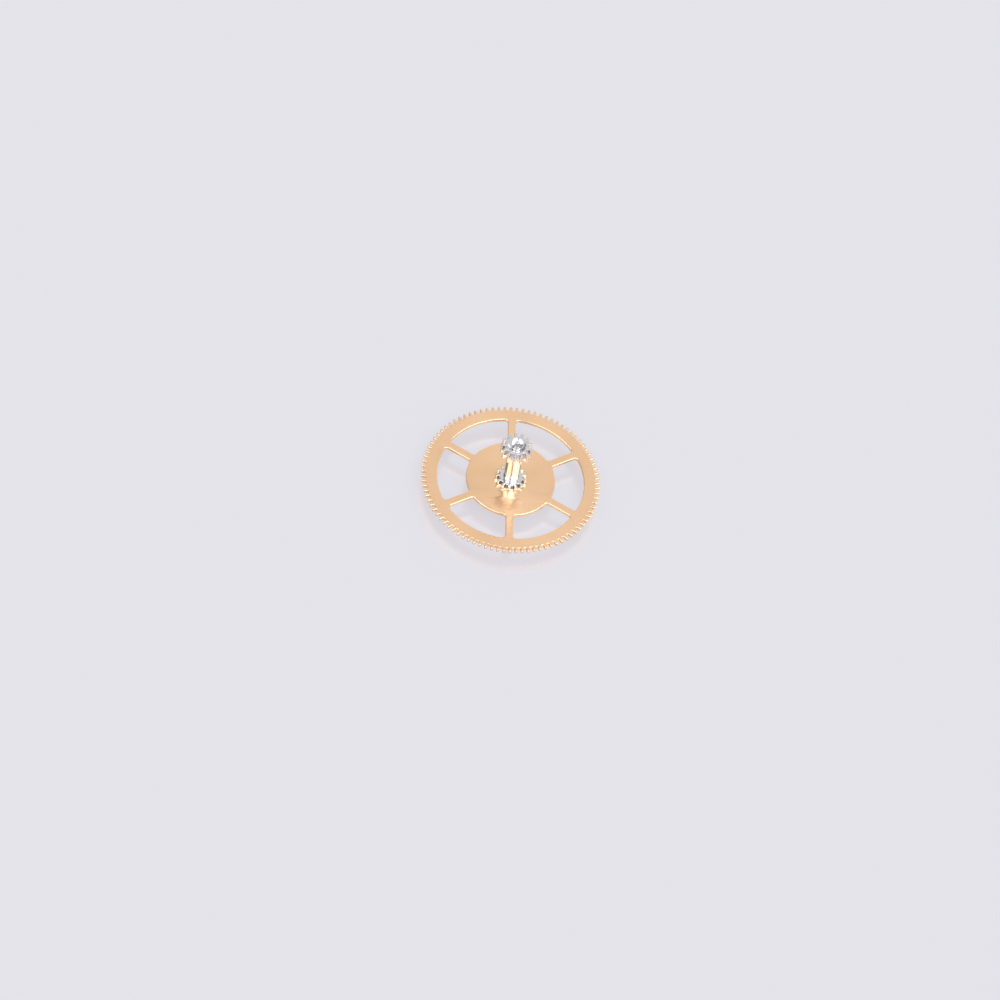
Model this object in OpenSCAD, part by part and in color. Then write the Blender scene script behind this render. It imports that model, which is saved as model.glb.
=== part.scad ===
// Third wheel of a wristwatch movement: a gilt brass wheel riveted on a long steel pinion.
// Sizes are in millimetres. Z runs up the arbor from the end of the lower pivot, and a spoke
// points along +Y. The pinion's leaves are cut in one pass, so both of its sections are in line.

/* [Wheel] */
// Number of teeth on the wheel
wheel_teeth = 90; // [60:1:108]
// Diameter over the tips of the wheel's teeth
wheel_d = 7.0; // [6.7:0.05:9]
// Thickness of the wheel plate
plate_t = 0.16; // [0.1:0.01:0.3]
// Height of a wheel tooth outside its pitch circle
tooth_addendum = 0.095; // [0.06:0.005:0.13]
// Depth of a wheel tooth inside its pitch circle
tooth_dedendum = 0.09; // [0.06:0.005:0.13]
// Width of a wheel tooth on its pitch circle
tooth_w = 0.12; // [0.08:0.005:0.14]
// Width of the flat left at the tip of a wheel tooth
tooth_land = 0.024; // [0.01:0.002:0.05]
// Fillet radius at the foot of a wheel tooth
tooth_foot_r = 0.025; // [0.01:0.005:0.035]
// Angle of the first wheel tooth
tooth_phase = 2.8; // [0:0.1:4]
// Inner diameter of the toothed rim
rim_inner_d = 5.73; // [5:0.01:6.2]
// Diameter of the disc round the wheel's centre
hub_d = 3.48; // [2:0.01:4.2]
// Number of spokes
spokes = 6; // [3:1:8]
// Width of a spoke
spoke_w = 0.31; // [0.15:0.01:0.5]
// Fillet radius between a spoke and the rim
rim_fillet_r = 0.12; // [0.03:0.01:0.3]
// Fillet radius between a spoke and the centre disc
hub_fillet_r = 0.12; // [0.03:0.01:0.3]

/* [Pinion leaves] */
// Number of leaves on the pinion
leaves = 13; // [10:1:14]
// Diameter over the tips of the leaves
leaf_tip_d = 1.22; // [1.2:0.01:1.5]
// Diameter at the foot of the leaves
leaf_root_d = 0.88; // [0.8:0.01:0.96]
// Thickness of a leaf at its rounded tip
leaf_w = 0.12; // [0.08:0.01:0.16]
// Fillet radius at the foot of a leaf
leaf_foot_r = 0.03; // [0.01:0.005:0.04]
// Angle of the first leaf
leaf_phase = 13.8; // [0:0.1:36]
// Height of the lower leaves, which stand on the wheel
lower_leaf_h = 0.19; // [0.15:0.01:0.6]
// Height of the upper leaves, the pinion's head
head_h = 0.5; // [0.35:0.01:0.9]
// Chamfer turned on the ends of the leaves
leaf_chamfer = 0.03; // [0.01:0.005:0.06]
// Diameter of the plain waist between the two leaf sections
waist_d = 0.59; // [0.4:0.01:0.76]
// Length of the waist
waist_h = 1.48; // [0.6:0.02:2]

/* [Seat and rivet] */
// Diameter of the turned-down leaf ends that pass through the wheel
seat_d = 1.0; // [0.98:0.01:1.06]
// Radial gap between the leaf ends and the wheel's hole
seat_gap = 0.005; // [0.002:0.001:0.01]
// Diameter of the leaf ends spread under the wheel
rivet_d = 1.12; // [1.1:0.01:1.25]
// Height of the spread leaf ends
rivet_h = 0.05; // [0.03:0.01:0.09]
// Width of the gaps left between the spread leaf ends, at their foot
rivet_gap = 0.02; // [0.01:0.005:0.05]
// Radius of the corners of the spread leaf ends
rivet_corner_r = 0.03; // [0.01:0.005:0.05]

/* [Arbor and pivots] */
// Diameter of the dish in the head's upper face
dish_d = 0.7; // [0.6:0.01:0.76]
// Depth of that dish, which is part of a sphere
dish_depth = 0.15; // [0.08:0.01:0.25]
// Diameter of the upper pivot's conical shoulder at the depth of the dish
upper_cone_d = 0.39; // [0.26:0.01:0.44]
// Height of that conical shoulder from the depth of the dish
upper_cone_h = 0.14; // [0.05:0.01:0.3]
// Diameter of the upper pivot
upper_pivot_d = 0.16; // [0.1:0.01:0.24]
// Length of the upper pivot
upper_pivot_h = 0.23; // [0.15:0.01:0.4]
// Diameter of the arbor under the wheel
lower_arbor_d = 0.5; // [0.3:0.01:0.7]
// Length of the arbor under the wheel
lower_arbor_h = 0.2; // [0.1:0.01:0.6]
// Height of the lower pivot's conical shoulder
lower_cone_h = 0.08; // [0.03:0.01:0.2]
// Diameter of the lower pivot
lower_pivot_d = 0.16; // [0.1:0.01:0.26]
// Length of the lower pivot
lower_pivot_h = 0.22; // [0.15:0.01:0.4]
// Chamfer round the end of a pivot
pivot_chamfer = 0.03; // [0.01:0.005:0.04]

/* [Hidden] */
gilt = [0.93, 0.76, 0.6];
steel = [0.8, 0.8, 0.82];
// Steps of the arcs at a tooth's foot, at its tip, in a window's corners and along its long sides
foot_steps = 2;
tip_steps = 3;
corner_steps = 5;
side_steps = 12;
// Sides of a true circle
round_fn = 96;
// How far a turned outline stands clear of the leaf tips that it doesn't trim
spare = 0.02;
tip_r = wheel_d / 2;
pitch_r = tip_r - tooth_addendum;
root_r = pitch_r - tooth_dedendum;
leaf_tip_r = leaf_tip_d / 2;
leaf_root_r = leaf_root_d / 2;
// Angle from the middle of a leaf to its flank, the angle that its foot adds, and the flank of a
// spread leaf end
leaf_flank = asin(leaf_w / (leaf_tip_d - leaf_w));
leaf_foot = asin(leaf_foot_r / (leaf_root_r + leaf_foot_r));
rivet_flank = 180 / leaves - leaf_foot - asin(rivet_gap / 2 / leaf_root_r);
window_turn = 360 / spokes;
// Heights along the arbor, from the end of the lower pivot
z_lower_cone = lower_pivot_h;
z_lower_arbor = z_lower_cone + lower_cone_h;
z_rivet = z_lower_arbor + lower_arbor_h;
z_plate = z_rivet + rivet_h;
z_leaves = z_plate + plate_t;
z_waist = z_leaves + lower_leaf_h;
z_head = z_waist + waist_h;
z_face = z_head + head_h;
z_dish = z_face - dish_depth;
z_upper_pivot = z_dish + upper_cone_h;
z_top = z_upper_pivot + upper_pivot_h;
// Heights inside the two leaf sections, where the turned core changes its diameter out of sight
z_in_leaves = z_leaves + lower_leaf_h / 2;
z_in_head = (z_head + z_dish) / 2;

// The point at radius r and angle a
function polar(r, a) = [r * cos(a), r * sin(a)];
// Points turned about the centre by a
function turned(points, a) =
    [for (p = points) [p.x * cos(a) - p.y * sin(a), p.x * sin(a) + p.y * cos(a)]];
// Points along an arc round a centre, from angle a to angle b
function arc(centre, r, a, b, steps) =
    [for (i = [0 : steps]) centre + polar(r, a + (b - a) * i / steps)];
// The same points without the first and the last
function inner(points) = [for (i = [1 : len(points) - 2]) points[i]];
// Points in reverse order and mirrored in the X axis, without those on it
function mirrored(points) =
    [for (i = [len(points) - 1 : -1 : 0]) if (points[i].y != 0) [points[i].x, -points[i].y]];
// Half a tooth about the X axis, copied to its other side and then n times round the centre
function toothed(half, n, phase) =
    [for (k = [0 : n - 1]) each turned(concat(mirrored(half), half), phase + 360 * k / n)];
// The fillet between a radial flank at angle a and the root circle, from the flank inwards
function foot(root, fillet, a) =
    let (swing = asin(fillet / (root + fillet)))
    arc(polar(root + fillet, a + swing), fillet, a + 270, a + 180 + swing, foot_steps);

// Half a wheel tooth: a pointed arc from the tip to the pitch circle, a radial flank and its foot
function half_tooth() =
    let (flank = asin(tooth_w / 2 / pitch_r),
         start = polar(pitch_r, flank),
         end = [tip_r, tooth_land / 2],
         reach = end - start,
         inward = [sin(flank), -cos(flank)],
         r = reach * reach / (2 * reach * inward),
         centre = start + r * inward)
    concat(
        arc(centre, r, atan2(end.y - centre.y, end.x - centre.x), flank + 90, tip_steps),
        foot(root_r, tooth_foot_r, flank));

// Half a leaf: a round tip that blends into a radial flank, and its foot
function half_leaf() =
    concat(
        arc([leaf_tip_r - leaf_w / 2, 0], leaf_w / 2, 0, leaf_flank + 90, 2 * tip_steps),
        foot(leaf_root_r, leaf_foot_r, leaf_flank));

// Half a spread leaf end: a wide arc, a round corner, a radial flank and its foot
function half_lobe() =
    let (reach = rivet_d / 2 - rivet_corner_r,
         turn = rivet_flank - asin(rivet_corner_r / reach))
    concat(
        inner(arc([0, 0], rivet_d / 2, 0, turn, tip_steps)),
        arc(polar(reach, turn), rivet_corner_r, turn, rivet_flank + 90, tip_steps),
        foot(leaf_root_r, leaf_foot_r, rivet_flank));

// Outline of the window between one spoke, along the X axis, and the next
function window_outline() =
    let (side = spoke_w / 2,
         rim = rim_inner_d / 2,
         hub = hub_d / 2,
         rim_turn = asin((side + rim_fillet_r) / (rim - rim_fillet_r)),
         hub_turn = asin((side + hub_fillet_r) / (hub + hub_fillet_r)),
         corners = concat(
             arc(polar(hub + hub_fillet_r, hub_turn), hub_fillet_r, hub_turn + 180, 270, corner_steps),
             arc(polar(rim - rim_fillet_r, rim_turn), rim_fillet_r, -90, rim_turn, corner_steps)))
    concat(
        corners,
        inner(arc([0, 0], rim, rim_turn, window_turn - rim_turn, side_steps)),
        turned(mirrored(corners), window_turn),
        inner(arc([0, 0], hub, window_turn - hub_turn, hub_turn, side_steps)));

// Toothed rim, spokes and centre disc, punched from one flat plate
module wheel() {
    color(gilt)
    translate([0, 0, z_plate])
    linear_extrude(plate_t)
    difference() {
        polygon(toothed(half_tooth(), wheel_teeth, tooth_phase));
        for (k = [0 : spokes - 1])
            rotate(90 + k * window_turn) polygon(window_outline());
        circle(d = seat_d + 2 * seat_gap, $fn = round_fn);
    }
}

// One leaf section of the turned blank, chamfered at both ends
module leaf_blank(z, h) {
    reach = leaf_tip_r + spare;
    inset = leaf_tip_r - leaf_chamfer;
    rise = reach - inset;
    polygon([[0, z], [inset, z], [reach, z + rise], [reach, z + h - rise], [inset, z + h], [0, z + h]]);
}

// Both leaf sections and the turned-down leaf ends, cut by one set of gaps
module leaf_sections() {
    intersection() {
        translate([0, 0, z_plate])
            linear_extrude(z_face - z_plate)
                polygon(toothed(half_leaf(), leaves, leaf_phase));
        rotate_extrude($fn = round_fn) {
            translate([0, z_plate]) square([seat_d / 2, z_in_leaves - z_plate]);
            leaf_blank(z_leaves, lower_leaf_h);
            leaf_blank(z_head, head_h);
        }
    }
}

// The leaf ends hammered outwards under the wheel, which hold it
module rivet() {
    translate([0, 0, z_rivet])
        linear_extrude(rivet_h)
            polygon(toothed(half_lobe(), leaves, leaf_phase));
}

// Pivots, conical shoulders, arbor and waist, turned from one bar
module arbor() {
    lower_r = lower_pivot_d / 2;
    upper_r = upper_pivot_d / 2;
    rotate_extrude($fn = round_fn)
        polygon([
            [0, 0], [lower_r - pivot_chamfer, 0], [lower_r, pivot_chamfer], [lower_r, z_lower_cone],
            [lower_arbor_d / 2, z_lower_arbor], [lower_arbor_d / 2, z_in_leaves],
            [waist_d / 2, z_in_leaves], [waist_d / 2, z_in_head],
            [upper_cone_d / 2, z_in_head], [upper_cone_d / 2, z_dish], [upper_r, z_upper_pivot],
            [upper_r, z_top - pivot_chamfer], [upper_r - pivot_chamfer, z_top], [0, z_top]]);
}

// The round dish polished into the head's upper face
module dish() {
    dish_r = (pow(dish_d / 2, 2) + pow(dish_depth, 2)) / 2 / dish_depth;
    translate([0, 0, z_dish + dish_r]) sphere(r = dish_r, $fn = round_fn);
}

// The one-piece steel pinion
module pinion() {
    color(steel)
    union() {
        difference() {
            leaf_sections();
            dish();
        }
        rivet();
        arbor();
    }
}

wheel();
pinion();
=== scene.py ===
from cmath import phase, rect
from math import asin, cos, degrees, inf, radians, sin, sqrt, tan

import bpy
import bmesh
from mathutils import Matrix, Vector
from mathutils.geometry import tessellate_polygon


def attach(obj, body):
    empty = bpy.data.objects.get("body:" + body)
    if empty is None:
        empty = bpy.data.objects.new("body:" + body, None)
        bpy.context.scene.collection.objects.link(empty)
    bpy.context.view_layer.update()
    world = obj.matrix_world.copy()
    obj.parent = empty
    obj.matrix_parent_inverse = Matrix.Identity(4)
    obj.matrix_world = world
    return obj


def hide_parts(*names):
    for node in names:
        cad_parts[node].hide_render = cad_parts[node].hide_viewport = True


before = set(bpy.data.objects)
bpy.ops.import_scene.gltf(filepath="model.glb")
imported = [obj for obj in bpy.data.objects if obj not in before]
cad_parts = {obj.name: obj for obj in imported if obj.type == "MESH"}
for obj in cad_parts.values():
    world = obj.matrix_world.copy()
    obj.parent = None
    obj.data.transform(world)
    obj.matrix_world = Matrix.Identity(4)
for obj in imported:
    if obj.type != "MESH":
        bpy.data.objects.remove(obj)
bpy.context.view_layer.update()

# Sizes are in millimetres and angles in degrees. Outlines are lists of complex numbers, x + y j,
# with their material on the left.
MM = 0.001

# The wheel
WHEEL_TEETH = 90
WHEEL_D = 7.0
TOOTH_ADDENDUM = 0.095
TOOTH_DEDENDUM = 0.09
TOOTH_W = 0.12
TOOTH_LAND = 0.024
TOOTH_FOOT_R = 0.025
TOOTH_PHASE = 2.8
RIM_INNER_D = 5.73
HUB_D = 3.48
SPOKES = 6
SPOKE_PHASE = 90
SPOKE_W = 0.31
RIM_FILLET_R = 0.12
HUB_FILLET_R = 0.12
BORE_D = 1.01

# The wheel's rounded edges, which lessen towards the roots of the teeth, and half the ridge that
# they leave along the middle of a tooth
TOOTH_EDGE_R = 0.036
ROOT_EDGE_R = 0.02
RIDGE = 0.002
WINDOW_EDGE_R = 0.035
BORE_EDGE_R = 0.012

# A circle that divides each flat face, so that no thin triangle runs from the teeth to a window
FACE_R = 3.25

# The pinion
LEAVES = 13
LEAF_TIP_D = 1.22
LEAF_ROOT_D = 0.88
LEAF_W = 0.12
LEAF_FOOT_R = 0.03
LEAF_PHASE = 13.8
LEAF_CHAMFER = 0.03
LEAF_EDGE_R = 0.02
SEAT_D = 1.0
RIVET_D = 1.12
RIVET_GAP = 0.02
RIVET_CORNER_R = 0.03
RIVET_EDGE_R = 0.02
WAIST_D = 0.59
WAIST_FILLET_R = 0.025
RECESS_D = 0.7
RECESS_DEPTH = 0.15
UPPER_CONE_D = 0.34
PIVOT_D = 0.16
PIVOT_EDGE_R = 0.035
UPPER_PIVOT_FOOT_R = 0.03
LOWER_PIVOT_FOOT_R = 0.015
LOWER_ARBOR_D = 0.5
LOWER_ARBOR_EDGE_R = 0.02
LOWER_ARBOR_FOOT_R = 0.012

# How far a turned stretch runs out over the level face that it meets
RIVET_FACE_W = 0.04
LEAF_FACE_W = 0.06
HEAD_FACE_W = 0.03

# Heights along the arbor, from the end of the lower pivot
Z_LOWER_CONE = 0.22
Z_LOWER_ARBOR = 0.3
Z_RIVET = 0.5
Z_PLATE = 0.55
Z_LEAVES = 0.71
Z_WAIST = 0.9
Z_HEAD = 2.38
Z_FACE = 2.88
Z_UPPER_PIVOT = 2.87
Z_TOP = 3.1

# Steps of the curves
FOOT_STEPS = 4
TIP_STEPS = 6
CORNER_STEPS = 12
SIDE_STEPS = 60
EDGE_STEPS = 4
ROUND_STEPS = 144
DISH_STEPS = 8
FLOOR_STEPS = 90

# A softened corner has a point for each turn of this size, and never fewer steps than this
SOFT_TURN = 12
SOFT_STEPS = 3

# The turn beyond which two faces meet in a sharp edge, the least narrowing that a mitre allows
# for, the distance within which two points are one, and the one within which a point is on an axis
SMOOTH_ANGLE = 36
MITRE_LIMIT = 0.4
MERGE = 1e-6
ON_AXIS = 1e-9

# The places of the finishes in each piece's material slots
FACE, EDGE, CUT = range(3)
TURNED, LEAF, HAMMERED = range(3)

# Where most of the values of a noise lie
NOISE_RANGE = (0.3, 0.7)

# The fine circular grain of the wheel's faces: how rough it is, how far along the radius it draws
# a reflection out, from 0 to 1, and how many turns the radius lies from the tangent
FACE_ROUGHNESS = (0.22, 0.26)
FACE_RADIAL_BLUR = 0.75
RADIUS_TURN = 0.25

# The camera's place, with the photograph taken as 1000 pixels square
LENS = 300
SENSOR = 36
IMAGE = 1000
PIXELS_PER_MM = 25.8
ELEVATION = 53.1
AZIMUTH = -7.5
ROLL = 10.84
CENTRE_PIXEL = (510.7, 478.6)

# The studio round the wheel, with 1 as white. Each zone has the middle of its stretch, counted from
# the camera's side towards its right, half its width, its lowest and highest elevation, and by how
# much it is brighter or darker than the rest.
SKY_LEVEL = 0.95
SKY_ZONES = [
    (63, 55, 47, 61, 4.8),
    (38, 30, 38, 47, 4.8),
    (-49, 35, 40, 61, 3.2),
    (-3, 9, 20, 80, -0.4),
    (-118, 26, 38, 68, -0.62),
    (-124, 34, -20, 24, -0.62),
    (138, 16, 42, 66, -0.45),
    (62, 16, 3, 18, 0.8),
    (-62, 16, 3, 18, 0.8),
]

# Half the width of a zone's soft edges, at its sides and at its top and bottom
ZONE_SIDE_BLUR = 7
ZONE_END_BLUR = 5

# What the camera sees behind the floor
BACKDROP_COLOUR = (0.76, 0.75, 0.81, 1)

# The floor, with the share of its seen light that comes from within, and its gloss
FLOOR_R = 180
FLOOR_COLOUR = (0.715, 0.706, 0.766, 1)
FLOOR_GLOW = 0.9
FLOOR_GLOSS = 0.12
FLOOR_GLOSS_ROUGHNESS = 0.25


def polar(r, angle):
    """The point at a radius and an angle."""
    return rect(r, radians(angle))


def arc(centre, r, start, end, steps):
    """Points along an arc round a centre."""
    return [centre + polar(r, start + (end - start) * i / steps) for i in range(steps + 1)]


def circle(r):
    """A true circle, which shrinks to one point at radius 0."""
    if r == 0:
        return [0j]
    return [polar(r, 360 * i / ROUND_STEPS) for i in range(ROUND_STEPS)]


def turned(points, angle):
    """Points turned about the centre."""
    return [p * polar(1, angle) for p in points]


def mirrored(points):
    """Points in reverse order and mirrored in the X axis, without those on it."""
    return [p.conjugate() for p in reversed(points) if abs(p.imag) > ON_AXIS]


def toothed(half, count, first):
    """Half a tooth about the X axis, copied to its other side and then round the centre."""
    whole = mirrored(half) + half
    return [p for k in range(count) for p in turned(whole, first + 360 * k / count)]


def foot(root, fillet, flank):
    """The fillet between a radial flank and the root circle, from the flank inwards."""
    swing = degrees(asin(fillet / (root + fillet)))
    centre = polar(root + fillet, flank + swing)
    return arc(centre, fillet, flank + 270, flank + 180 + swing, FOOT_STEPS)


def half_tooth():
    """Half a wheel tooth: a pointed arc, a radial flank and its foot."""
    pitch_r = WHEEL_D / 2 - TOOTH_ADDENDUM
    root_r = pitch_r - TOOTH_DEDENDUM
    flank = degrees(asin(TOOTH_W / 2 / pitch_r))
    start = polar(pitch_r, flank)
    end = complex(WHEEL_D / 2, TOOTH_LAND / 2)
    reach = end - start
    inward = polar(1, flank - 90)
    r = abs(reach) ** 2 / (2 * (reach * inward.conjugate()).real)
    centre = start + r * inward
    tip = arc(centre, r, degrees(phase(end - centre)), flank + 90, TIP_STEPS)
    return tip + foot(root_r, TOOTH_FOOT_R, flank)


def half_leaf(flank):
    """Half a pinion leaf: a round tip that blends into a radial flank, and its foot."""
    tip = arc(LEAF_TIP_D / 2 - LEAF_W / 2, LEAF_W / 2, 0, flank + 90, 2 * TIP_STEPS)
    return tip + foot(LEAF_ROOT_D / 2, LEAF_FOOT_R, flank)


def half_lobe(flank):
    """Half a spread leaf end: a wide arc, a round corner, a radial flank and its foot."""
    reach = RIVET_D / 2 - RIVET_CORNER_R
    turn = flank - degrees(asin(RIVET_CORNER_R / reach))
    end = arc(0, RIVET_D / 2, 0, turn, 2 * TIP_STEPS)[:-1]
    corner = arc(polar(reach, turn), RIVET_CORNER_R, turn, flank + 90, TIP_STEPS)
    return end + corner + foot(LEAF_ROOT_D / 2, LEAF_FOOT_R, flank)


def window_outline():
    """The window between one spoke, along the X axis, and the next."""
    side = SPOKE_W / 2
    rim = RIM_INNER_D / 2
    hub = HUB_D / 2
    turn = 360 / SPOKES
    rim_turn = degrees(asin((side + RIM_FILLET_R) / (rim - RIM_FILLET_R)))
    hub_turn = degrees(asin((side + HUB_FILLET_R) / (hub + HUB_FILLET_R)))
    hub_centre = polar(hub + HUB_FILLET_R, hub_turn)
    rim_centre = polar(rim - RIM_FILLET_R, rim_turn)
    corners = arc(hub_centre, HUB_FILLET_R, hub_turn + 180, 270, CORNER_STEPS)
    corners += arc(rim_centre, RIM_FILLET_R, -90, rim_turn, CORNER_STEPS)
    rim_side = arc(0, rim, rim_turn, turn - rim_turn, SIDE_STEPS)[1:-1]
    hub_side = arc(0, hub, turn - hub_turn, hub_turn, SIDE_STEPS)[1:-1]
    outline = corners + rim_side + turned(mirrored(corners), turn) + hub_side
    return list(reversed(outline))


def mitres(outline):
    """For each corner, the way it moves when its outline moves one unit into the material."""
    ways = []
    for i, here in enumerate(outline):
        before = here - outline[i - 1]
        after = outline[(i + 1) % len(outline)] - here
        along = before / abs(before) + after / abs(after)
        along /= abs(along)
        narrow = (along * before.conjugate()).real / abs(before)
        ways.append(along * 1j / max(narrow, MITRE_LIMIT))
    return ways


def reaches(outline, count, first):
    """How far each corner of a toothed outline can move before it meets its tooth's middle line."""
    limits = []
    each = len(outline) // count
    for i, (here, way) in enumerate(zip(outline, mitres(outline))):
        back = polar(1, -(first + 360 * (i // each) / count))
        side = (here * back).imag
        drift = (way * back).imag
        if side * drift < 0:
            limits.append(max(0, abs(side) - RIDGE) / abs(drift))
        else:
            limits.append(inf)
    return limits


def tooth_edges(outline):
    """The rounding at each corner of the wheel's teeth, which lessens towards their roots."""
    root_r = WHEEL_D / 2 - TOOTH_ADDENDUM - TOOTH_DEDENDUM
    shares = [min(1, max(0, (abs(p) - root_r) / TOOTH_DEDENDUM)) for p in outline]
    return [ROOT_EDGE_R + (TOOTH_EDGE_R - ROOT_EDGE_R) * share for share in shares]


def level(outline, z):
    """A ring, of points with their heights, from an outline at one height."""
    return [(p, z) for p in outline]


def pulled_in(p, r):
    """A point, moved in to a radius if it lies beyond it."""
    return p if abs(p) <= r else p * r / abs(p)


def softened(corners):
    """A turned profile, radius + height j, from corners of radius, height and rounding."""
    points = []
    for i, (r, z, rounding) in enumerate(corners):
        here = complex(r, z)
        if rounding == 0:
            points.append(here)
            continue
        before = complex(*corners[i - 1][:2]) - here
        after = complex(*corners[i + 1][:2]) - here
        before /= abs(before)
        after /= abs(after)
        half = abs(phase(after / before)) / 2
        middle = (before + after) / abs(before + after)
        centre = here + middle * rounding / sin(half)
        start = here + before * rounding / tan(half) - centre
        end = here + after * rounding / tan(half) - centre
        sweep = phase(end / start)
        steps = max(SOFT_STEPS, round(abs(degrees(sweep)) / SOFT_TURN))
        points += [centre + start * rect(1, sweep * k / steps) for k in range(steps + 1)]
    return points


def turned_rings(corners):
    """Rings of a turned stretch."""
    return [level(circle(p.real), p.imag) for p in softened(corners)]


def edge_rings(outline, z, radii, way, limits=None):
    """Rings of a rounded edge, from the flat end at height z to the wall. Way 1 goes up."""
    ways = mitres(outline)
    limits = limits or radii
    rings = []
    for k in range(EDGE_STEPS + 1):
        share = 1 - sin(radians(90 * k / EDGE_STEPS))
        ring = []
        for here, move, r, limit in zip(outline, ways, radii, limits):
            own = min(r * share, limit)
            drop = r - sqrt(r * r - (r - own) ** 2)
            ring.append((here + move * own, z + way * drop))
        rings.append(ring)
    return rings


def added(name, data):
    """A new object in the scene."""
    thing = bpy.data.objects.new(name, data)
    bpy.context.scene.collection.objects.link(thing)
    return thing


class Shell:
    """A mesh that grows from rings of points. Each face keeps the index of its material."""

    def __init__(self):
        self.points = []
        self.faces = []
        self.finishes = []

    def ring(self, ring):
        """The numbers of a ring's points, which it adds."""
        first = len(self.points)
        self.points += [(p.real * MM, p.imag * MM, z * MM) for p, z in ring]
        return list(range(first, len(self.points)))

    def face(self, corners, finish):
        self.faces.append(corners)
        self.finishes.append(finish)

    def wall(self, low, high, finish):
        """Faces between two rings. The outside is on the right of the way from low to high."""
        count = max(len(low), len(high))
        for i in range(count):
            j = (i + 1) % count
            if len(low) == 1:
                self.face((low[0], high[j], high[i]), finish)
            elif len(high) == 1:
                self.face((low[i], low[j], high[0]), finish)
            else:
                self.face((low[i], low[j], high[j], high[i]), finish)

    def flat(self, rings, up, finish):
        """A level face inside the first ring and round the others."""
        indices = [i for ring in rings for i in ring]
        loops = [[Vector(self.points[i]) / MM for i in ring] for ring in rings]
        for triangle in tessellate_polygon(loops):
            a, b, c = (indices[i] for i in triangle)
            pa, pb, pc = (complex(*self.points[i][:2]) for i in (a, b, c))
            over = ((pb - pa).conjugate() * (pc - pa)).imag
            self.face((a, b, c) if (over > 0) == up else (a, c, b), finish)

    def skin(self, rings, finishes):
        """One closed turned or leaved body, from its lowest point to its highest."""
        last = None
        last_reach = 0
        for ring, finish in zip(rings, finishes):
            here = self.ring(ring)
            reach = max(abs(p) for p, _ in ring)
            if last and (len(last) == len(here) or len(here) == 1 or len(last) == 1):
                self.wall(last, here, finish)
            elif last:
                widens = reach > last_reach
                outer, hole = (here, last) if widens else (last, here)
                self.flat([outer, hole], not widens, finish)
            last = here
            last_reach = reach

    def build(self, name, materials):
        """The finished object, smooth over its curves and sharp at its corners."""
        mesh = bpy.data.meshes.new(name)
        mesh.from_pydata(self.points, [], self.faces)
        mesh.polygons.foreach_set("material_index", self.finishes)
        for material in materials:
            mesh.materials.append(material)
        work = bmesh.new()
        work.from_mesh(mesh)
        bmesh.ops.remove_doubles(work, verts=work.verts, dist=MERGE * MM)
        bmesh.ops.dissolve_degenerate(work, edges=work.edges, dist=MERGE * MM)
        work.to_mesh(mesh)
        work.free()
        mesh.polygons.foreach_set("use_smooth", [True] * len(mesh.polygons))
        mesh.set_sharp_from_angle(angle=radians(SMOOTH_ANGLE))
        piece = added(name, mesh)
        even = piece.modifiers.new("even_normals", "WEIGHTED_NORMAL")
        even.mode = "FACE_AREA"
        even.keep_sharp = True
        return piece


class Nodes:
    """Short calls that add shader nodes to one tree."""

    def __init__(self, tree):
        self.tree = tree
        tree.nodes.clear()

    def add(self, kind, inputs=None, **settings):
        """A node with its settings and then its inputs, by name or number."""
        node = self.tree.nodes.new(kind)
        for name, value in settings.items():
            setattr(node, name, value)
        for name, value in (inputs or {}).items():
            self.give(node.inputs[name], value)
        return node

    def give(self, socket, value):
        """Link a socket to another, or set it to a value."""
        if isinstance(value, bpy.types.NodeSocket):
            self.tree.links.new(value, socket)
        else:
            socket.default_value = value

    def math(self, operation, *values, clamp=False):
        node = self.add("ShaderNodeMath", operation=operation, use_clamp=clamp)
        for socket, value in zip(node.inputs, values):
            self.give(socket, value)
        return node.outputs[0]

    def vector(self, operation, *values):
        node = self.add("ShaderNodeVectorMath", operation=operation)
        for socket, value in zip(node.inputs, values):
            self.give(socket, value)
        return node.outputs["Value" if operation in ("LENGTH", "DOT_PRODUCT") else "Vector"]

    def scaled(self, vector, scale):
        return self.add("ShaderNodeMapping", {"Vector": vector, "Scale": scale}).outputs[0]

    def noise(self, vector, scale, detail=2.0, roughness=0.5):
        inputs = {"Vector": vector, "Scale": scale, "Detail": detail, "Roughness": roughness}
        return self.add("ShaderNodeTexNoise", inputs).outputs["Fac"]

    def spread(self, value, low, high, to_low, to_high):
        """A value, taken smoothly from one range to another."""
        inputs = {"Value": value, "From Min": low, "From Max": high}
        inputs.update({"To Min": to_low, "To Max": to_high})
        node = self.add("ShaderNodeMapRange", inputs, interpolation_type="SMOOTHSTEP")
        return node.outputs["Result"]

    def between(self, noise, to_low, to_high):
        """A noise, taken from where most of its values lie to another range."""
        return self.spread(noise, *NOISE_RANGE, to_low, to_high)

    def blend(self, factor, first, second):
        """A colour between two others."""
        inputs = {0: factor, 6: (*first, 1), 7: (*second, 1)}
        return self.add("ShaderNodeMix", inputs, data_type="RGBA").outputs[2]

    def mixed(self, share, first, second):
        """A share of the second shader mixed into the first."""
        inputs = {0: share, 1: first.outputs[0], 2: second.outputs[0]}
        return self.add("ShaderNodeMixShader", inputs)

    def bump(self, height, depth, normal=None):
        """A relief as deep as this in millimetres, on top of another where one is given."""
        inputs = {"Height": height, "Strength": 1.0, "Distance": depth * MM}
        if normal:
            inputs["Normal"] = normal
        return self.add("ShaderNodeBump", inputs).outputs[0]


def new_material(name):
    """An empty material, and its nodes."""
    material = bpy.data.materials.new(name)
    material.use_nodes = True
    return material, Nodes(material.node_tree)


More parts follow.
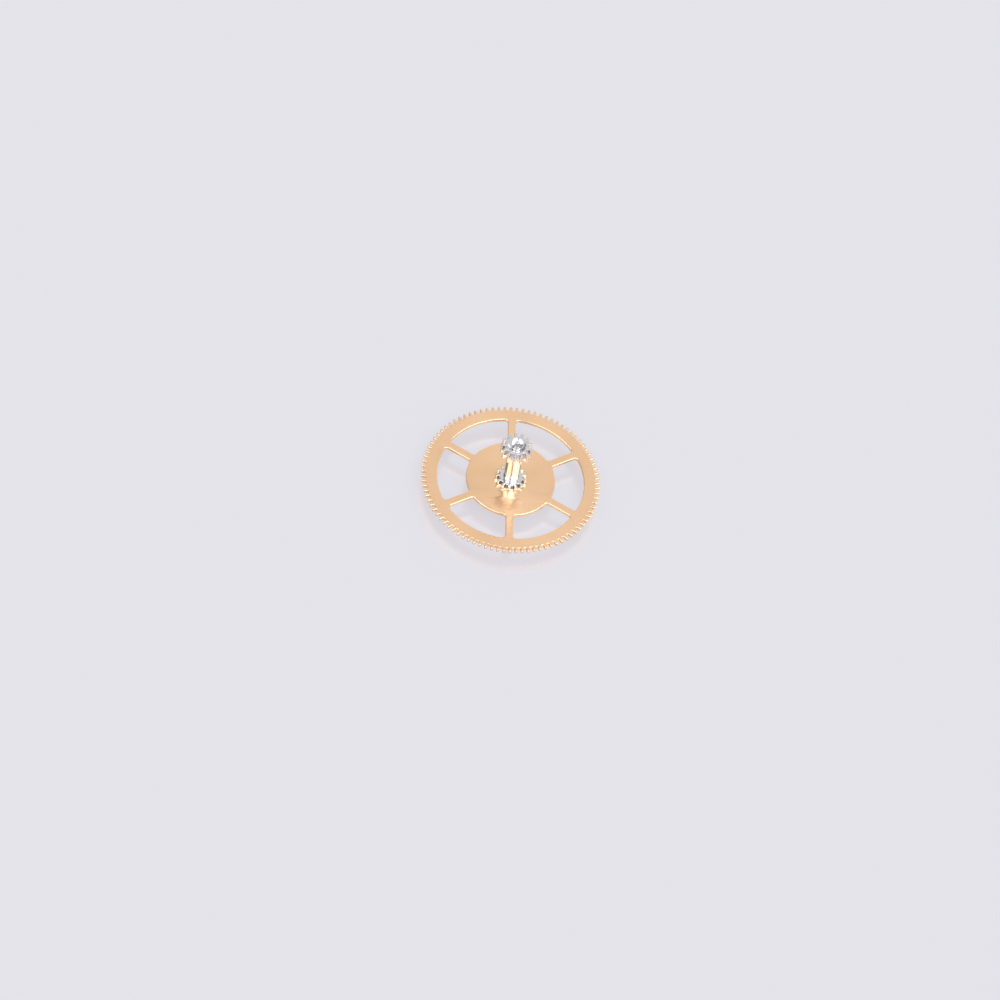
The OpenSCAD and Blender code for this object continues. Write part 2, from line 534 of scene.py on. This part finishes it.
def metal(name, build, radial_blur=0.0):
    """A metal whose colour, roughness and relief come from build(nodes, place).

    Radial blur, from 0 to 1, is what grain that runs round the axis gives a reflection.
    """
    material, nodes = new_material(name)
    where = nodes.add("ShaderNodeTexCoord").outputs["Object"]
    place = nodes.scaled(where, (1 / MM, 1 / MM, 1 / MM))
    colour, roughness, normal = build(nodes, place)
    inputs = {"Metallic": 1.0, "Base Color": colour, "Roughness": roughness, "Normal": normal}
    if radial_blur:
        around = nodes.add("ShaderNodeTangent", direction_type="RADIAL", axis="Z")
        inputs["Anisotropic"] = radial_blur
        inputs["Anisotropic Rotation"] = RADIUS_TURN
        inputs["Tangent"] = around.outputs[0]
    shader = nodes.add("ShaderNodeBsdfPrincipled", inputs)
    nodes.add("ShaderNodeOutputMaterial", {"Surface": shader.outputs[0]})
    return material


def turning_place(nodes, place):
    """Radius and height alone, so that a pattern runs round the axis."""
    radius = nodes.vector("LENGTH", nodes.vector("MULTIPLY", place, (1.0, 1.0, 0.0)))
    height = nodes.add("ShaderNodeSeparateXYZ", {"Vector": place}).outputs["Z"]
    return nodes.add("ShaderNodeCombineXYZ", {"X": radius, "Y": height}).outputs[0]


def gilt_face(nodes, place):
    """Gilding over brass that was finely grained in circles."""
    cloud = nodes.noise(place, 0.7)
    grain = nodes.noise(turning_place(nodes, place), 30.0, roughness=0.6)
    speck = nodes.noise(place, 60.0, detail=1.0)
    shade = nodes.math("MULTIPLY_ADD", grain, 0.4, nodes.math("MULTIPLY", cloud, 0.6))
    tone = nodes.between(shade, 0, 1)
    colour = nodes.blend(tone, (0.851, 0.546, 0.322), (0.891, 0.597, 0.373))
    roughness = nodes.between(shade, *FACE_ROUGHNESS)
    normal = nodes.bump(grain, 0.00006)
    normal = nodes.bump(speck, 0.00003, normal)
    return colour, roughness, normal


def gilt_edge_painted_highlight(nodes, place):
    """Edges that handling and plating left smoother, in a lighter gold that is partly their polish
    and partly a painted highlight.
    """
    cloud = nodes.noise(place, 2.5)
    nick = nodes.noise(place, 22.0)
    # The lighter gold on the rounded edges is partly polish and partly a painted highlight
    colour = nodes.blend(cloud, (0.92, 0.63, 0.40), (0.97, 0.70, 0.47))
    roughness = nodes.between(nick, 0.18, 0.28)
    return colour, roughness, nodes.bump(nick, 0.0008)


def gilt_cut(nodes, place):
    """Punched and milled walls, with marks that run through the plate."""
    drawn = nodes.noise(nodes.scaled(place, (1.0, 1.0, 0.08)), 55.0)
    colour = nodes.blend(drawn, (0.80, 0.50, 0.28), (0.90, 0.60, 0.37))
    roughness = nodes.between(drawn, 0.16, 0.28)
    return colour, roughness, nodes.bump(drawn, 0.0008)


def steel_turned(nodes, place):
    """Polished steel with the faintest marks of turning."""
    marks = nodes.noise(turning_place(nodes, place), 42.0, roughness=0.7)
    cloud = nodes.noise(place, 1.8)
    colour = nodes.blend(cloud, (0.60, 0.60, 0.62), (0.66, 0.65, 0.66))
    roughness = nodes.between(marks, 0.09, 0.16)
    return colour, roughness, nodes.bump(marks, 0.0003)


def steel_leaf(nodes, place):
    """Leaves polished along their length."""
    strokes = nodes.noise(nodes.scaled(place, (1.0, 1.0, 0.06)), 60.0)
    cloud = nodes.noise(place, 3.0)
    colour = nodes.blend(cloud, (0.58, 0.58, 0.60), (0.65, 0.64, 0.65))
    roughness = nodes.between(strokes, 0.1, 0.18)
    return colour, roughness, nodes.bump(strokes, 0.0004)


def steel_hammered(nodes, place):
    """The spread leaf ends, dented by the punch."""
    dents = nodes.noise(place, 9.0)
    fine = nodes.noise(place, 60.0)
    colour = nodes.blend(fine, (0.52, 0.52, 0.53), (0.62, 0.61, 0.62))
    roughness = nodes.between(fine, 0.2, 0.34)
    return colour, roughness, nodes.bump(dents, 0.006)


def make_wheel():
    """The toothed plate, with rounded edges on its teeth, windows and hole."""
    teeth = toothed(half_tooth(), WHEEL_TEETH, TOOTH_PHASE)
    loops = [(teeth, tooth_edges(teeth), reaches(teeth, WHEEL_TEETH, TOOTH_PHASE))]
    for k in range(SPOKES):
        window = turned(window_outline(), SPOKE_PHASE + k * 360 / SPOKES)
        loops.append((window, [WINDOW_EDGE_R] * len(window), None))
    bore = list(reversed(circle(BORE_D / 2)))
    loops.append((bore, [BORE_EDGE_R] * len(bore), None))
    shell = Shell()
    bottoms = []
    tops = []
    for outline, radii, limits in loops:
        low = edge_rings(outline, Z_PLATE, radii, 1, limits)
        high = edge_rings(outline, Z_LEAVES, radii, -1, limits)
        rings = [shell.ring(ring) for ring in low + high[::-1]]
        for k in range(len(rings) - 1):
            shell.wall(rings[k], rings[k + 1], CUT if k == EDGE_STEPS else EDGE)
        bottoms.append(rings[0])
        tops.append(rings[-1])
    for z, (rim, *holes), up in ((Z_PLATE, bottoms, False), (Z_LEAVES, tops, True)):
        divide = shell.ring(level(circle(FACE_R), z))
        shell.flat([rim, divide], up, FACE)
        shell.flat([divide, *holes], up, FACE)
    gildings = [metal("gilt_face", gilt_face, FACE_RADIAL_BLUR)]
    gildings += [metal("gilt_edge_painted_highlight", gilt_edge_painted_highlight), metal("gilt_cut", gilt_cut)]
    return shell.build("spoked_wheel", gildings)


def leaf_end(outline, z, way):
    """Rings of a leaf section's end, turned to a chamfer, from the end face to the full leaves."""
    inner = LEAF_TIP_D / 2 - LEAF_CHAMFER
    rings = []
    for ring in edge_rings(outline, z, [LEAF_EDGE_R] * len(outline), way):
        rings.append([(pulled_in(p, inner + abs(height - z)), height) for p, height in ring])
    rings.append(level(outline, z + way * LEAF_CHAMFER))
    return rings


def dish_profile(mouth, root):
    """The round dish in the head's upper face, from its mouth in to the foot of the cone."""
    r = (mouth ** 2 + RECESS_DEPTH ** 2) / 2 / RECESS_DEPTH
    centre = complex(0, Z_FACE - RECESS_DEPTH + r)
    return arc(centre, r, degrees(asin(mouth / r)) - 90, degrees(asin(root / r)) - 90, DISH_STEPS)


def make_pinion():
    """Pivots, arbor, rivet, both leaf sections, waist and recess, as one steel body."""
    pivot = PIVOT_D / 2
    arbor = LOWER_ARBOR_D / 2
    waist = WAIST_D / 2
    mouth = RECESS_D / 2
    flank = degrees(asin(LEAF_W / (LEAF_TIP_D - LEAF_W)))
    leaf_foot = degrees(asin(LEAF_FOOT_R / (LEAF_ROOT_D / 2 + LEAF_FOOT_R)))
    spread = 180 / LEAVES - leaf_foot - degrees(asin(RIVET_GAP / LEAF_ROOT_D))
    leaves = toothed(half_leaf(flank), LEAVES, LEAF_PHASE)
    lobes = toothed(half_lobe(spread), LEAVES, LEAF_PHASE)
    seat = [pulled_in(p, SEAT_D / 2) for p in leaves]
    dish = [(p.real, p.imag, 0) for p in dish_profile(mouth, UPPER_CONE_D / 2)]
    stretches = [
        (TURNED, turned_rings([
            (0, 0, 0), (pivot, 0, PIVOT_EDGE_R), (pivot, Z_LOWER_CONE, LOWER_PIVOT_FOOT_R),
            (arbor, Z_LOWER_ARBOR, LOWER_ARBOR_EDGE_R), (arbor, Z_RIVET, LOWER_ARBOR_FOOT_R),
            (arbor + RIVET_FACE_W, Z_RIVET, 0)])),
        (HAMMERED, edge_rings(lobes, Z_RIVET, [RIVET_EDGE_R] * len(lobes), 1)),
        (HAMMERED, [level(lobes, Z_PLATE)]),
        (LEAF, [level(seat, Z_PLATE), level(seat, Z_LEAVES)]),
        (LEAF, leaf_end(leaves, Z_LEAVES, 1) + leaf_end(leaves, Z_WAIST, -1)[::-1]),
        (TURNED, turned_rings([
            (waist + LEAF_FACE_W, Z_WAIST, 0), (waist, Z_WAIST, WAIST_FILLET_R),
            (waist, Z_HEAD, WAIST_FILLET_R), (waist + LEAF_FACE_W, Z_HEAD, 0)])),
        (LEAF, leaf_end(leaves, Z_HEAD, 1) + leaf_end(leaves, Z_FACE, -1)[::-1]),
        (TURNED, turned_rings([
            (mouth + HEAD_FACE_W, Z_FACE, 0), *dish, (pivot, Z_UPPER_PIVOT, UPPER_PIVOT_FOOT_R),
            (pivot, Z_TOP, PIVOT_EDGE_R), (0, Z_TOP, 0)])),
    ]
    shell = Shell()
    rings = [ring for finish, part in stretches for ring in part]
    finishes = [finish for finish, part in stretches for ring in part]
    shell.skin(rings, finishes)
    steels = [metal("steel_turned", steel_turned), metal("steel_leaf", steel_leaf)]
    steels.append(metal("steel_hammered", steel_hammered))
    return shell.build("leaved_pinion", steels)


def make_floor():
    """A plain pale floor, partly lit from within so that it stays pale under the wheel."""
    mesh = bpy.data.meshes.new("floor")
    rim = [polar(FLOOR_R * MM, 360 * k / FLOOR_STEPS) for k in range(FLOOR_STEPS)]
    mesh.from_pydata([(p.real, p.imag, 0) for p in rim], [], [tuple(range(FLOOR_STEPS))])
    floor = added("floor", mesh)
    material, nodes = new_material("pale_floor")
    path = nodes.add("ShaderNodeLightPath")
    seen = nodes.math("ADD", path.outputs["Is Camera Ray"], path.outputs["Is Glossy Ray"])
    seen = nodes.math("ADD", seen, path.outputs["Is Transmission Ray"], clamp=True)
    share = nodes.math("MULTIPLY", seen, FLOOR_GLOW)
    lit = nodes.add("ShaderNodeBsdfDiffuse", {"Color": FLOOR_COLOUR})
    glow = nodes.add("ShaderNodeEmission", {"Color": FLOOR_COLOUR, "Strength": 1.0})
    white = {"Color": (1, 1, 1, 1), "Roughness": FLOOR_GLOSS_ROUGHNESS}
    gloss = nodes.add("ShaderNodeBsdfGlossy", white)
    soft = nodes.mixed(share, lit, glow)
    surface = nodes.mixed(FLOOR_GLOSS, soft, gloss)
    nodes.add("ShaderNodeOutputMaterial", {"Surface": surface.outputs[0]})
    floor.data.materials.append(material)


def view_axes():
    """The camera's level right-hand and forward directions, as seen from above."""
    right = Vector((cos(radians(AZIMUTH)), sin(radians(AZIMUTH)), 0))
    ahead = Vector((-sin(radians(AZIMUTH)), cos(radians(AZIMUTH)), 0))
    return right, ahead


def soft_edge(middle, blur):
    """The two ends of a soft edge."""
    return radians(middle - blur), radians(middle + blur)


def sky_zone(nodes, direction, middle, half_width, low, high):
    """1 inside a soft-edged zone of the sky, counted from the camera's side towards its right."""
    right, ahead = view_axes()
    facing = -ahead * cos(radians(middle)) + right * sin(radians(middle))
    side = ahead * sin(radians(middle)) + right * cos(radians(middle))
    along = nodes.vector("DOT_PRODUCT", direction, tuple(facing))
    across = nodes.vector("DOT_PRODUCT", direction, tuple(side))
    turn = nodes.math("ABSOLUTE", nodes.math("ARCTAN2", across, along))
    rise = nodes.add("ShaderNodeSeparateXYZ", {"Vector": direction}).outputs["Z"]
    height = nodes.math("ARCSINE", rise)
    inside = nodes.spread(turn, *soft_edge(half_width, ZONE_SIDE_BLUR), 1, 0)
    above = nodes.spread(height, *soft_edge(low, ZONE_END_BLUR), 0, 1)
    below = nodes.spread(height, *soft_edge(high, ZONE_END_BLUR), 1, 0)
    return nodes.math("MULTIPLY", inside, nodes.math("MULTIPLY", above, below))


def make_sky():
    """A soft studio: an even surround with brighter and darker zones, and a plain backdrop."""
    world = bpy.data.worlds.new("studio")
    world.use_nodes = True
    bpy.context.scene.world = world
    nodes = Nodes(world.node_tree)
    direction = nodes.add("ShaderNodeTexCoord").outputs["Generated"]
    strength = SKY_LEVEL
    for middle, half_width, low, high, change in SKY_ZONES:
        zone = sky_zone(nodes, direction, middle, half_width, low, high)
        strength = nodes.math("MULTIPLY_ADD", zone, change, strength)
    light = nodes.add("ShaderNodeBackground", {"Color": (1, 1, 1, 1), "Strength": strength})
    backdrop = nodes.add("ShaderNodeBackground", {"Color": BACKDROP_COLOUR, "Strength": 1.0})
    seen = nodes.add("ShaderNodeLightPath").outputs["Is Camera Ray"]
    surround = nodes.mixed(seen, light, backdrop)
    nodes.add("ShaderNodeOutputWorld", {"Surface": surround.outputs[0]})


def make_camera():
    """The photograph's view of the wheel."""
    data = bpy.data.cameras.new("camera")
    data.lens = LENS
    data.sensor_width = SENSOR
    data.clip_start = 0.01
    data.clip_end = 2.0
    camera = added("camera", data)
    side, ahead = view_axes()
    forward = ahead * cos(radians(ELEVATION)) - Vector((0, 0, sin(radians(ELEVATION))))
    raised = side.cross(forward)
    right = side * cos(radians(ROLL)) + raised * sin(radians(ROLL))
    up = raised * cos(radians(ROLL)) - side * sin(radians(ROLL))
    width = IMAGE / PIXELS_PER_MM * MM
    aside = (CENTRE_PIXEL[0] - IMAGE / 2) / IMAGE * width
    above = (IMAGE / 2 - CENTRE_PIXEL[1]) / IMAGE * width
    aim = Vector((0, 0, Z_LEAVES * MM)) - right * aside - up * above
    place = aim - forward * width * LENS / SENSOR
    axes = Matrix((right, up, -forward)).transposed().to_4x4()
    camera.matrix_world = Matrix.Translation(place) @ axes
    bpy.context.scene.camera = camera


wheel = make_wheel()
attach(wheel, "root")
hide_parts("wheel")

pinion = make_pinion()
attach(pinion, "root")
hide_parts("pinion")

make_floor()
make_sky()
make_camera()
bpy.context.scene.view_settings.view_transform = "Standard"
